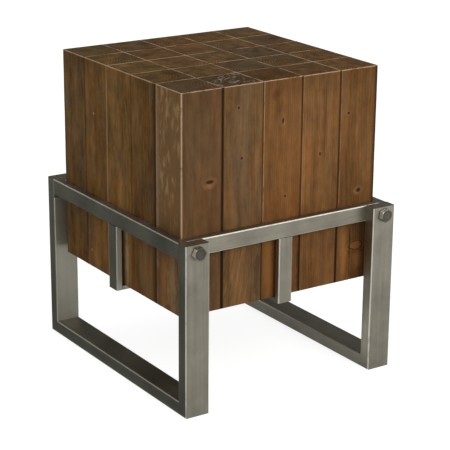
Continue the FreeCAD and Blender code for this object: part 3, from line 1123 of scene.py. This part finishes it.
# Bolts
def bolt_rings(flats, height):
    """A bolt from the shank's tip to the middle of its head.

    Each ring is (radius, depth, whether it follows the hexagon, how rubbed it is); on the hexagon this shows
    only as painted highlight on the upper left flats.
    """
    half = flats / 2
    corner = flats / sqrt(3.0)
    rings = [
        (BOLT_SHANK, -BOLT_SHANK_LENGTH, False, 0.0),
        (BOLT_SHANK, 0.0, False, 0.0),
        (half * WASHER_RIM, 0.0, False, 0.0),
        (half * WASHER_RIM, WASHER_HEIGHT, False, 0.2),
        (corner, HEX_FOOT[0], True, 0.3),
        (corner, HEX_FOOT[1], True, 1.0),
        (corner, height - BOLT_CHAMFER, True, 1.0),
    ]
    for step in range(1, CHAMFER_STEPS + 1):
        share = step / CHAMFER_STEPS
        radius = corner + (half * CHAMFER_RIM - corner) * share
        rings.append((radius, height - BOLT_CHAMFER * (1.0 - share), True, CHAMFER_HIGHLIGHT))
    for share, depth, rubbed in HEAD_RINGS:
        rings.append((half * share, height - depth, False, rubbed))
    return rings


def hex_radius(flats, angle):
    """The distance from a hexagon's middle to its rim at an angle."""
    turn = radians(HEX_ANGLE)
    return flats / 2 / cos((angle % turn) - turn / 2)


def flat_highlight(angle, turn):
    """Painted highlight of the flat at an angle round a head: bright on the upper left flats, dull elsewhere.
    """
    middle = (degrees(angle) // HEX_ANGLE) * HEX_ANGLE + HEX_ANGLE / 2 + turn
    return 1.0 if cos(radians(middle - BRIGHT_FLAT)) > 0.5 else DULL_FLAT


def add_bolt(made, wear_and_highlight_layer, seat, outward, turn, flats, height):
    """One hex bolt whose head seats on a leg and points along outward."""
    loops = []
    for radius, depth, follows, rubbed in bolt_rings(flats, height):
        loop = []
        for step in range(BOLT_SEGMENTS):
            angle = tau * step / BOLT_SEGMENTS
            reach = min(radius, hex_radius(flats, angle)) if follows else radius
            across = angle + radians(turn)
            point = seat + Vector((reach * cos(across), outward * depth, reach * sin(across)))
            new = made.verts.new(point)
            # On the hexagon, painted highlight on the upper left flats only.
            new[wear_and_highlight_layer] = rubbed * flat_highlight(angle, turn) if follows else rubbed
            loop.append(new)
        loops.append(loop)
    join_rings(made, loops)
    made.faces.new(loops[-1])
    made.faces.new(reversed(loops[0]))


def build_bolts():
    """The four hex bolts that hold the legs to the crossbars."""
    low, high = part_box("frame_bolts")
    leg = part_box("front_left_leg")[0].y
    flats = high.z - low.z
    height = leg - low.y
    made = bmesh.new()
    wear_and_highlight_layer = made.verts.layers.float.new(WEAR_AND_HIGHLIGHT_LAYER)
    for (side, end), turn in BOLT_TURNS.items():
        seat = Vector((side * (high.x - flats / sqrt(3.0)), end * -leg, (low.z + high.z) / 2))
        add_bolt(made, wear_and_highlight_layer, seat, end, turn, flats, height)
    bmesh.ops.recalc_face_normals(made, faces=made.faces)
    finish = {"roughness": 0.2, "edge": WEAR_AND_HIGHLIGHT_LAYER, "shine": 1.0, "rub": BOLT_RUB_AND_HIGHLIGHT}
    material = steel_material("steel_bolt", EVERY_WAY, DARK_STEEL, **finish)
    piece = new_piece("hex_bolts", made, material, "fastener_steel", "frame_bolts")
    piece.data.set_sharp_from_angle(angle=radians(BOLT_SHARP))


# Stage
def floor_material():
    """A pale surface that looks white to the camera, keeps shadows and throws some light back up."""
    graph = Graph("floor")
    path = graph.light_path()
    through = graph.math("MAXIMUM", path["Is Glossy Ray"], path["Is Transmission Ray"])
    strength = graph.blend(
        (path["Is Camera Ray"], FLOOR_SHOWN),
        (through, FLOOR_MIRRORED),
        (path["Is Diffuse Ray"], FLOOR_BOUNCED),
    )
    diffuse = graph.shader("BsdfDiffuse", Color=FLOOR_COLOUR)
    glow = graph.shader("Emission", Strength=strength)
    return graph.finish(graph.joined("AddShader", diffuse, glow))


def card_material(name):
    graph = Graph(name)
    return graph.finish(graph.shader("Emission", Color=CARD_COLOURS[name]))


def sheet(name, corners, material):
    mesh = bpy.data.meshes.new(name)
    mesh.from_pydata(corners, [], [tuple(range(len(corners)))])
    mesh.materials.append(material)
    made = new_object(name, mesh)
    return made


def lying(left, front, right, back, level=CARD_LEVEL):
    """The corners of a flat rectangle on the floor."""
    return ((left, front, level), (right, front, level), (right, back, level), (left, back, level))


def standing(start, end, top):
    """The corners of an upright rectangle over the line from start to end."""
    return ((*start, 0.0), (*end, 0.0), (*end, top), (*start, top))


def build_stage():
    """Pale floor, and cards that show only in reflections, painting dark and bright reflections into the
    steel: left, behind, in front and under the block.
    """
    floor = lying(-FLOOR_REACH, -FLOOR_REACH, FLOOR_REACH, FLOOR_REACH, FLOOR_LEVEL)
    sheet("floor", floor, floor_material())
    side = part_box("left_sled_rail")[0].x - CARD_GAP
    colours = {name: card_material(name) for name in CARD_COLOURS}
    cards = (
        ("card_floor", "card_left", lying(-3.0, -0.3, side, 2.0)),
        ("card_left", "card_left", standing((-3.0, -0.6), (-3.0, 2.2), 1.6)),
        ("card_behind", "card_grey", standing((-3.0, 1.5), (-0.5, 1.5), 3.0)),
        ("card_back", "card_back", standing((0.0, 1.5), (6.0, 1.5), 3.2)),
        ("card_under", "card_bright", [(x, y, CARD_LEVEL) for x, y in UNDER_CORNERS]),
        ("card_front", "card_pale", lying(-2.0, -2.2, 0.4, -0.42)),
        ("card_front_right", "card_white", lying(0.4, -2.2, 2.5, -0.42)),
    )
    for name, colour, corners in cards:
        card = sheet(name, corners, colours[colour])
        card.visible_camera = False
        card.visible_diffuse = False
        card.visible_shadow = False
        card.visible_transmission = False


def area_light(name, place, width, height, power, colour, mirrored):
    data = bpy.data.lights.new(name, "AREA")
    data.shape = "RECTANGLE"
    data.size = width
    data.size_y = height
    data.energy = power
    data.color = colour
    light = new_object(name, data)
    light.location = place
    light.rotation_mode = "QUATERNION"
    light.rotation_quaternion = (LIT_POINT - light.location).to_track_quat("-Z", "Y")
    light.visible_camera = False
    light.visible_glossy = mirrored


def build_lights():
    """A soft key from the front, a low front panel and weak fills."""
    for light in LIGHTS:
        area_light(*light)


def build_surround():
    """An even surround that looks white to the camera and in reflections."""
    graph = Graph("surround", bpy.data.worlds, "OutputWorld")
    path = graph.light_path()
    seen = graph.math("MAXIMUM", path["Is Camera Ray"], path["Is Glossy Ray"])
    seen = graph.math("MAXIMUM", seen, path["Is Transmission Ray"])
    lit = graph.shader("Background", Color=WHITE, Strength=SURROUND_LIT)
    shown = graph.shader("Background", Color=WHITE, Strength=SURROUND_SHOWN)
    bpy.context.scene.world = graph.finish(graph.joined("MixShader", seen, lit, shown))


def build_camera():
    """Camera at the photograph's viewing angle."""
    data = bpy.data.cameras.new("camera")
    data.sensor_width = SENSOR
    data.lens = LENS
    data.clip_end = FAR_END
    camera = new_object("camera", data)
    azimuth = radians(AZIMUTH)
    elevation = radians(ELEVATION)
    back = Vector((sin(azimuth) * cos(elevation), -cos(azimuth) * cos(elevation), sin(elevation)))
    camera.location = AIM + back * DISTANCE
    camera.rotation_mode = "QUATERNION"
    level = (-back).to_track_quat("-Z", "Y")
    camera.rotation_quaternion = level @ Quaternion((0.0, 0.0, 1.0), radians(ROLL))
    bpy.context.scene.camera = camera


build_posts()
dress_frame()
build_bolts()
build_stage()
build_lights()
build_surround()
build_camera()
bpy.context.scene.view_settings.view_transform = "Standard"
